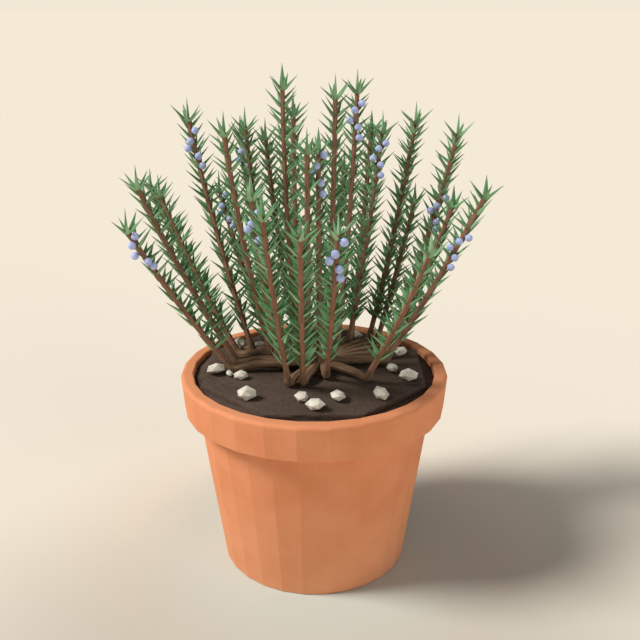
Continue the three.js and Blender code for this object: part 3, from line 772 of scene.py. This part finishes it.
# %% The recipe of a bark rod
def bark_rod():
    tree, add, given = new_recipe(
        "bark_rod", {"Sides": 6, "Step": 1.8 * MM, "First Whorl": 0.0, "Whorl Spacing": 1.0, "Swelling": 0.0}
    )
    stepped = add(
        "GeometryNodeResampleCurve", {"Curve": given["Geometry"], "Length": given["Step"]}, mode="LENGTH"
    )
    travel = add("GeometryNodeSplineParameter")
    marked = add(
        "GeometryNodeStoreNamedAttribute",
        {"Geometry": stepped, "Name": "along", "Value": travel.outputs["Length"]},
    )
    past = add("ShaderNodeMath", {0: travel.outputs["Length"], 1: given["First Whorl"]}, operation="SUBTRACT")
    whorls = add("ShaderNodeMath", {0: past, 1: given["Whorl Spacing"]}, operation="DIVIDE")
    turns = add("ShaderNodeMath", {0: whorls, 1: math.tau}, operation="MULTIPLY")
    wave = add("ShaderNodeMath", {0: turns}, operation="COSINE")
    swell = add(
        "ShaderNodeMapRange", {"Value": wave, "From Min": 0.4, "From Max": 1.0, "To Max": given["Swelling"]}
    )
    more = add("ShaderNodeMath", {0: swell, 1: 1.0}, operation="ADD")
    plain = add("GeometryNodeInputRadius")
    radius = add("ShaderNodeMath", {0: plain, 1: more}, operation="MULTIPLY")
    section = add("GeometryNodeCurvePrimitiveCircle", {"Resolution": given["Sides"], "Radius": 1.0})
    spot = add("GeometryNodeInputPosition")
    BARK_RADIUS = 2 * MM  # the bark is laid round a rod as thick as this, however thick the wood is
    thin = add("ShaderNodeVectorMath", {0: spot, 1: (BARK_RADIUS,) * 3}, operation="MULTIPLY")
    noted = add(
        "GeometryNodeStoreNamedAttribute",
        {"Geometry": section, "Name": "around", "Value": thin},
        data_type="FLOAT_VECTOR",
    )
    rod = add(
        "GeometryNodeCurveToMesh",
        {"Curve": marked, "Profile Curve": noted, "Scale": radius, "Fill Caps": True},
    )
    give(add, soften(add, rod, angle=35), wood)
    return tree


rod = bark_rod()
print("made", rod.name)

# %% [markdown]
# ### The crown
#
# The crown is a short cone of a trunk with 28 branches, all one piece of wood. Each branch is a Bezier
# curve through a few points with automatic handles, which is what bends the wood smoothly over its arch
# and round its elbow. The radius of each point says how thick the wood is there.


# %% Grow the crown
def bend_through(curve, points, radii):
    """Adds a smooth path through some points, with its thickness at each."""
    spline = curve.splines.new("BEZIER")
    spline.bezier_points.add(len(points) - 1)
    for knot, point, radius in zip(spline.bezier_points, points, radii):
        knot.co = point * MM
        knot.radius = radius * MM
        knot.handle_left_type = knot.handle_right_type = "AUTO"
    spline.resolution_u = 16


TRUNK_COURSE = ((-22, 5.0), (-6, 7.2), (3, 7.8), (13, 5.3), (TRUNK_TOP, 2.1))  # (height, radius)
ARCH = ((0, 6.8), (0.45, 6.2), (0.8, 5))  # (share of the way out, height over the soil)
BRANCH_RADII = (3.1, 2.8, 2.7, 3.0, 2.1)

wooden = new_paths("woody_crown")
trunk_foot = soil_height(*TRUNK)
trunk_heights, trunk_radii = zip(*TRUNK_COURSE)
bend_through(wooden, [Vector((*TRUNK, trunk_foot + height)) for height in trunk_heights], trunk_radii)
for number in range(LEADER):
    elbow, stub_end, _, _ = course(number)
    trunk = Vector((*TRUNK, elbow.z))
    arch = []
    for share, height in ARCH:
        point = trunk.lerp(elbow, share)
        point.z = soil_height(point.x, point.y) + height
        arch.append(point)
    bend_through(wooden, [*arch, elbow, stub_end], BRANCH_RADII)
crown = new_object("woody_crown", wooden)
grow(crown, rod, {"Sides": 7})
crown = keep(crown, replaces=["crown"])
# The crown takes the darker bark: old bark with painted shade.
crown.data.materials[0] = old_and_shaded_wood
print("crown:", len(crown.data.polygons), "faces")

# %% [markdown]
# ### The leafy stems' wood
#
# Each stem is one Bezier segment. The solids use a curve with a single control point, and such a curve is
# the same as a Bezier whose handles reach two thirds of the way to that point.

# %% Grow the stems' wood
FIRST_WHORL = 11
WHORL_PITCH = 10.8
STEM_FOOT_RADIUS = 2.05
STEM_END_RADIUS = 1.6
TOP_WHORL_DROP = 2.5  # from the stem's end to its last whorl


def whorl_spacing(length):
    """The whorls are evenly spaced up to the stem's end."""
    room = length - TOP_WHORL_DROP - FIRST_WHORL
    return room / round(room / WHORL_PITCH)


def stem_path(name, number):
    _, start, control, end = course(number)
    curve = new_paths(name)
    spline = curve.splines.new("BEZIER")
    spline.bezier_points.add(1)
    spline.resolution_u = 32
    foot, top = spline.bezier_points
    for knot in (foot, top):
        knot.handle_left_type = knot.handle_right_type = "FREE"
    foot.co, top.co = start * MM, end * MM
    foot.handle_left, foot.handle_right = start * MM, start.lerp(control, 2 / 3) * MM
    top.handle_left, top.handle_right = end.lerp(control, 2 / 3) * MM, end * MM
    foot.radius, top.radius = STEM_FOOT_RADIUS * MM, STEM_END_RADIUS * MM
    return curve, (end - start).length


stem_faces = 0
for number in range(len(STEMS)):
    label = f"{number + 1:02d}"
    curve, length = stem_path(f"sprig_{label}_wood", number)
    stem = new_object(f"sprig_{label}_wood", curve)
    whorls = {"First Whorl": FIRST_WHORL * MM, "Whorl Spacing": whorl_spacing(length) * MM, "Swelling": 0.1}
    grow(stem, rod, whorls)
    stem = keep(stem, replaces=[f"leafy_stem_{label}"])
    stem_faces += len(stem.data.polygons)
print("stems:", stem_faces, "faces of wood")

# %% [markdown]
# ## Needles and buds
#
# The solids hold a plain spike for every needle, bent clear of its neighbours, and a plain bud for every
# flower bud. So the solids already say where each one is and which way it reaches, and the finer shapes
# are put exactly there.
#
# A spike's point is easy to find in a merged copy of a solid: it is the only kind of corner where four
# edges meet, all of them long. A bud's far corner has four edges too, all of them short, and the stem
# ends in a point where five edges meet.


# %% Read the spikes and buds of a stem
BUD_RADIUS = 2.55
BUD_STALK = 3.45
SAME_CORNER = 0.005  # corners of a solid that are closer than this are one
END_SPIKE_EDGE = 10  # the edges at the point of an end spike are longer than this
NEEDLE_EDGE = 4.2  # those at the point of a needle are longer than this
BUD_EDGES = (2.3, 3.4)  # those at the far corner of a bud are between these


def merged_copy(node):
    """A solid as a form whose facets share their corners."""
    form = bmesh.new()
    form.from_mesh(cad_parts[node].data)
    bmesh.ops.remove_doubles(form, verts=form.verts, dist=SAME_CORNER * MM)
    return form


def read_stem(node):
    """(root, tip) of every needle of a stem's solid, and (root, centre) of its buds, in metres."""
    form = merged_copy(node)
    needles, buds = [], []
    for corner in form.verts:
        around = [edge.other_vert(corner).co for edge in corner.link_edges]
        reach = [(point - corner.co).length / MM for point in around]
        root = sum(around, Vector()) / len(around)
        if len(around) == 5 and min(reach) > END_SPIKE_EDGE:
            needles.append((root, corner.co.copy()))
        elif len(around) == 4 and min(reach) > NEEDLE_EDGE:
            needles.append((root, corner.co.copy()))
        elif len(around) == 4 and BUD_EDGES[0] < min(reach) and max(reach) < BUD_EDGES[1]:
            inward = (root - corner.co).normalized()
            centre = corner.co + inward * BUD_RADIUS * MM
            buds.append((centre + inward * BUD_STALK * MM, centre))
    form.free()
    return needles, buds


grown = {number: read_stem(f"leafy_stem_{number + 1:02d}") for number in range(len(STEMS))}
print("needles:", sum(len(n) for n, _ in grown.values()), "buds:", sum(len(b) for _, b in grown.values()))

# %% [markdown]
# ### The needles between the whorls
#
# A living stem has more leaves than its solid, whose needles are few so that they stay clear of each other.
# So there are three more between each whorl and the next, a little higher or lower from needle to needle.
# They leave the front of the stem bare, as all its whorls but the top one do. The stems at the back are
# leafier and have five. A needle that would grow through a bud is left out.


# %% Place the needles between the whorls
FACINGS = (-108, 108, 180)  # degrees round the stem from the front to its right
FACINGS_AT_BACK = (-108, -36, 36, 108, 180)
FACING_JITTER = 8  # degrees either way
BACK = 27  # where the back of the plant starts
HEIGHT_JITTER = 0.16  # of the whorls' spacing, either way
ROOT_DEPTH = 0.8  # of the stem's radius at its end
RISE = (35, 60)  # degrees above the horizontal
SWING = 12  # degrees either way
REACH = (10, 14)
BUD_CLEARANCE = 3.3  # from the middle of a bud
FIRST_SEED = 100


def needle_between(number, at, angle, chance):
    """(root, tip) in metres of a needle at a share of a stem's length and an angle round it."""
    _, start, control, end = course(number)
    heading = (control - start).lerp(end - control, at).normalized()
    across = (Vector((1, 0, 0)) - heading * heading.x).normalized()
    normal = across * math.cos(angle) + heading.cross(across) * math.sin(angle)
    spot = start.lerp(control, at).lerp(control.lerp(end, at), at)
    root = spot + normal * STEM_END_RADIUS * ROOT_DEPTH
    rise = math.radians(chance.uniform(*RISE))
    swing = math.radians(chance.uniform(-SWING, SWING))
    level = Vector((normal.x, normal.y, 0)).normalized()
    x = level.x * math.cos(swing) - level.y * math.sin(swing)
    y = level.x * math.sin(swing) + level.y * math.cos(swing)
    tip = root + Vector((x, y, math.tan(rise))).normalized() * chance.uniform(*REACH)
    return root * MM, tip * MM


def distance_to_needle(point, root, tip):
    """How far a point is from the straight line between a needle's root and its tip."""
    _, share = geometry.intersect_point_line(point, root, tip)
    return (point - root.lerp(tip, min(1, max(0, share)))).length


def needles_between(number, buds):
    """The needles between the whorls of a stem, but for those that would meet its buds."""
    chance = random.Random(FIRST_SEED + number)
    _, start, _, end = course(number)
    length = (end - start).length
    spacing = whorl_spacing(length)
    facings = FACINGS_AT_BACK if STEMS[number][0][1] > BACK else FACINGS
    pairs = []
    for whorl in range(round((length - TOP_WHORL_DROP - FIRST_WHORL) / spacing)):
        for facing in facings:
            height = whorl + 0.5 + chance.uniform(-HEIGHT_JITTER, HEIGHT_JITTER)
            at = (FIRST_WHORL + height * spacing) / length
            angle = math.radians(facing + chance.uniform(-FACING_JITTER, FACING_JITTER) - 90)
            root, tip = needle_between(number, at, angle, chance)
            if all(distance_to_needle(bud, root, tip) > BUD_CLEARANCE * MM for _, bud in buds):
                pairs.append((root, tip))
    return pairs


between = {number: needles_between(number, buds) for number, (_, buds) in grown.items()}
print("needles between the whorls:", sum(len(pairs) for pairs in between.values()))

# %% [markdown]
# ### A needle
#
# The needle is a tapered diamond, swept along a short straight line: widest close to its root, then drawn
# out almost straight to a sharp point. Its keel and edges stay crisp, and that is what gives each needle
# a light and a dark side. It has 29 faces and no more, because there are over 2,500 needles.
#
# Each root is a point with a `reach`, the way from root to tip. Instance on Points puts a needle on every
# root, turns its Z along the reach and its Y as near to upright as it will go, and scales it to length.


# %% The recipe of the needles
NEEDLE_LENGTH = 14.2


def aim(add):
    """The way from a root to its tip, and the turn that points Z along it."""
    reach = add("GeometryNodeInputNamedAttribute", {"Name": "reach"}, data_type="FLOAT_VECTOR")
    return reach, add("FunctionNodeAlignRotationToVector", {"Vector": reach}, axis="Z")


def whorled_needles():
    tree, add, given = new_recipe(
        "whorled_needles",
        {
            "Length": NEEDLE_LENGTH * MM,
            "Width": 3.6 * MM,
            "Keel": 1.3 * MM,
            "Belly": 1.0 * MM,
            "Twist": math.radians(16),
            "Seed": 0,
        },
    )
    end = add("ShaderNodeCombineXYZ", {"Z": given["Length"]})
    line = add("GeometryNodeCurvePrimitiveLine", {"End": end})
    steps = add("GeometryNodeResampleCurve", {"Curve": line, "Count": 8})
    travel = add("GeometryNodeSplineParameter")
    marked = add(
        "GeometryNodeStoreNamedAttribute",
        {"Geometry": steps, "Name": "along", "Value": travel.outputs["Factor"]},
    )
    fullness = add("ShaderNodeFloatCurve", {"Value": travel.outputs["Factor"]})
    knots = fullness.mapping.curves[0].points
    knots[0].location, knots[1].location = (0.0, 0.85), (1.0, 0.0)
    for place in ((0.08, 1.0), (0.3, 0.8), (0.6, 0.47)):
        knots.new(*place)
    fullness.mapping.update()
    section = add(
        "GeometryNodeCurvePrimitiveQuadrilateral",
        {"Width": given["Width"], "Top Height": given["Keel"], "Bottom Height": given["Belly"]},
        mode="KITE",
    )
    blade = add(
        "GeometryNodeCurveToMesh",
        {"Curve": marked, "Profile Curve": section, "Scale": fullness, "Fill Caps": True},
    )
    closed = add("GeometryNodeMergeByDistance", {"Geometry": blade, "Distance": TOGETHER * MM})
    spot = add("GeometryNodeInputPosition")
    across = add("ShaderNodeSeparateXYZ", {0: spot})
    below = add("FunctionNodeCompare", {0: across.outputs["Y"], 1: 0.0}, operation="LESS_THAN")
    sided = add(
        "GeometryNodeStoreNamedAttribute",
        {"Geometry": closed, "Name": "underside", "Value": below},
        domain="FACE",
    )
    needle = soften(add, sided, angle=32)
    reach, aimed = aim(add)
    levelled = add(
        "FunctionNodeAlignRotationToVector",
        {"Rotation": aimed, "Vector": (0.0, 0.0, 1.0)},
        axis="Y",
        pivot_axis="Z",
    )
    far = add("ShaderNodeVectorMath", {0: reach}, operation="LENGTH")
    scale = add("ShaderNodeMath", {0: far.outputs["Value"], 1: given["Length"]}, operation="DIVIDE")
    tone = add("FunctionNodeRandomValue", {"Seed": given["Seed"]})
    toned = add(
        "GeometryNodeStoreNamedAttribute",
        {"Geometry": given["Geometry"], "Name": "tone", "Value": tone.outputs[1]},
    )
    placed = add(
        "GeometryNodeInstanceOnPoints",
        {"Points": toned, "Instance": needle, "Rotation": levelled, "Scale": scale},
    )
    back = add("ShaderNodeMath", {0: given["Twist"], 1: -1.0}, operation="MULTIPLY")
    turn = add("FunctionNodeRandomValue", {2: back, 3: given["Twist"], "Seed": given["Seed"]})
    twist = add("ShaderNodeCombineXYZ", {"Z": turn.outputs[1]})
    twisted = add("GeometryNodeRotateInstances", {"Instances": placed, "Rotation": twist})
    give(add, twisted, leaf)
    return tree


needle_recipe = whorled_needles()
print("made", needle_recipe.name)


# %% Grow the needles
def points_with_reach(name, pairs):
    """A mesh of loose points at the roots, each with the way to its tip."""
    mesh = bpy.data.meshes.new(name)
    mesh.from_pydata([root for root, _ in pairs], [], [])
    reach = mesh.attributes.new("reach", "FLOAT_VECTOR", "POINT")
    for value, (root, tip) in zip(reach.data, pairs):
        value.vector = tip - root
    return new_object(name, mesh)


needle_faces = 0
for number, (needles, _) in grown.items():
    sprig = points_with_reach(f"sprig_{number + 1:02d}_needles", needles + between[number])
    grow(sprig, needle_recipe, {"Seed": number})
    sprig = keep(sprig)
    needle_faces += len(sprig.data.polygons)
print("needles:", needle_faces, "faces")

# %% [markdown]
# ### A flower bud
#
# A bud is a small ball of folded petals in a downy cup, on a short stalk. There are 55, few enough to
# have some shape: an icosphere for the petals, and a cone for the cup and stalk.


# %% The recipe of the buds
CUP_HEIGHT = 1.6  # how far the cup reaches up round its bud


def flower_buds():
    tree, add, given = new_recipe("flower_buds", {"Radius": BUD_RADIUS * MM, "Stalk": BUD_STALK * MM})
    ball = add("GeometryNodeMeshIcoSphere", {"Radius": given["Radius"], "Subdivisions": 2})
    coloured = add("GeometryNodeSetMaterial", {"Geometry": ball, "Material": petal})
    wide = add("ShaderNodeMath", {0: given["Radius"], 1: 0.7}, operation="MULTIPLY")
    narrow = add("ShaderNodeMath", {0: given["Radius"], 1: 0.25}, operation="MULTIPLY")
    cone = add(
        "GeometryNodeMeshCone",
        {"Vertices": 7, "Radius Top": wide, "Radius Bottom": narrow, "Depth": given["Stalk"]},
    )
    down = add("ShaderNodeMath", {0: given["Stalk"], 1: -1.0}, operation="MULTIPLY")
    behind = add("ShaderNodeMath", {0: down, 1: given["Radius"]}, operation="SUBTRACT")
    nearer = add("ShaderNodeMath", {0: behind, 1: CUP_HEIGHT * MM}, operation="ADD")
    shift = add("ShaderNodeCombineXYZ", {"Z": nearer})
    stalk = add("GeometryNodeTransform", {"Geometry": cone, "Translation": shift})
    downy = add("GeometryNodeSetMaterial", {"Geometry": stalk, "Material": cup})
    bud = add("GeometryNodeJoinGeometry")
    tree.links.new(coloured.outputs[0], bud.inputs[0])
    tree.links.new(downy.outputs[0], bud.inputs[0])
    _, aimed = aim(add)
    placed = add(
        "GeometryNodeInstanceOnPoints", {"Points": given["Geometry"], "Instance": bud, "Rotation": aimed}
    )
    real = add("GeometryNodeRealizeInstances", {"Geometry": placed})
    add("NodeGroupOutput", {0: real})
    return tree


bud_recipe = flower_buds()
for number, (_, buds) in grown.items():
    if buds:
        ways = [(centre, 2 * centre - root) for root, centre in buds]
        cluster = points_with_reach(f"sprig_{number + 1:02d}_buds", ways)
        grow(cluster, bud_recipe)
        keep(cluster)
print("bud clusters:", sum(1 for _, buds in grown.values() if buds))

# %% [markdown]
# ## The stone chips
#
# The chips keep the form of their solids. Broken stone is never quite sharp, so a merged copy of each
# solid gets a small bevel, and the light catches its arrises.

# %% Ease the chips
CHIPS = 14
for number in range(CHIPS):
    label = f"{number + 1:02d}"
    form = merged_copy(f"stone_chip_{label}")
    mesh = bpy.data.meshes.new(f"limestone_chip_{label}")
    form.to_mesh(mesh)
    form.free()
    mesh.materials.clear()
    mesh.materials.append(stone)
    for face in mesh.polygons:
        face.material_index = 0
    chip = new_object(f"limestone_chip_{label}", mesh)
    ease(chip, width=0.2, segments=1, angle=8)
    keep(chip, replaces=[f"stone_chip_{label}"])
print("chips:", CHIPS)

# %% [markdown]
# ## Floor, light and colour
#
# The plant stands on a pale floor that runs on so far that it has no edge in the picture. Its paint is
# a little darker in front of the pot and round its foot, which is painted shade, and a shade paler far
# off, which is painted light. One soft sun stands to the left and a little in front, and throws the long
# soft shadow to the right. The sky of the studio fills the shadows, and a weak, wide and very low second
# sun in front on the right lifts the shaded side of the pot but hardly reaches the floor. The colours go
# to the screen by the Standard view, which shows each hex colour as it was picked.

# %% The floor
HALF_SIDE = 60.0  # metres
IN_FRONT, AT_FOOT = (0.0, -150 * MM, 0.0), (0.0, 0.0, 0.0)
# Painted shade and painted light on the floor: darker round the foot and in front of the pot, paler far off.
PAINTED_SHADING = (  # (middle, from, to in mm, colour, its share in the middle, easing), the last on top
    (IN_FRONT, 400, 850, "#f4e8d4", 0.0, "LINEAR"),
    (IN_FRONT, 110, 335, "#cec6b5", 1.0, "SMOOTHSTEP"),
    (AT_FOOT, 60, 150, "#cacfc2", 1.0, "SMOOTHSTEP"),
)
corners = [(x * HALF_SIDE, y * HALF_SIDE, 0) for x, y in ((-1, -1), (1, -1), (1, 1), (-1, 1))]
floor_mesh = bpy.data.meshes.new("floor")
floor_mesh.from_pydata(corners, [], [(0, 1, 2, 3)])
floor = new_object("floor", floor_mesh)
floor_material, add, floor_shader, floor_place = new_material("studio_floor_matt_paint_with_painted_shade")
# The floor's paint, with the painted shade and painted light laid over it one by one.
tone = linear("#f1e5d2")
for middle, near, far, colour, inside, easing in PAINTED_SHADING:
    away = add("ShaderNodeVectorMath", {0: floor_place, 1: middle}, operation="DISTANCE")
    reach = {"From Min": near * MM, "From Max": far * MM, "To Min": inside, "To Max": 1.0 - inside}
    share = add("ShaderNodeMapRange", {"Value": away.outputs["Value"], **reach}, interpolation_type=easing)
    tone = add("ShaderNodeMix", {0: share, 6: tone, 7: linear(colour)}, data_type="RGBA").outputs[2]
feed(floor_shader, {"Base Color": tone, "Roughness": 1.0, "Specular IOR Level": 0.0})
floor_mesh.materials.append(floor_material)
print("floor laid")

# %% The light
SUN_HEIGHT = 45  # degrees above the floor
SUN_SIDE = 8  # degrees in front of straight left
SUN_WIDTH = 19
SUN_ENERGY = 3.3

FILL_HEIGHT = 6
FILL_SIDE = 49  # degrees in front of straight right
FILL_WIDTH = 34
FILL_ENERGY = 1.0


def add_sun(name, energy, width, tip, turn):
    """A sun as wide as said, tipped from straight overhead and then turned, all in degrees."""
    light = bpy.data.lights.new(name, "SUN")
    light.energy = energy
    light.angle = math.radians(width)
    new_object(name, light).rotation_euler = (0, math.radians(tip), math.radians(turn))


add_sun("sun", SUN_ENERGY, SUN_WIDTH, SUN_HEIGHT - 90, SUN_SIDE)
add_sun("fill", FILL_ENERGY, FILL_WIDTH, 90 - FILL_HEIGHT, -FILL_SIDE)

world = bpy.data.worlds.new("studio")
world.use_nodes = True
scene.world = world
sky = world.node_tree.nodes["Background"]
seen = add_node(world.node_tree, "ShaderNodeLightPath")
backdrop = add_node(world.node_tree, "ShaderNodeBackground", {"Color": linear("#f2e8d5"), "Strength": 1.0})
feed(sky, {"Color": linear("#f4fbff"), "Strength": 0.245})
both = add_node(
    world.node_tree, "ShaderNodeMixShader", {0: seen.outputs["Is Camera Ray"], 1: sky, 2: backdrop}
)
feed(world.node_tree.nodes["World Output"], {"Surface": both})
scene.view_settings.view_transform = "Standard"
print("two suns and the studio sky are on")
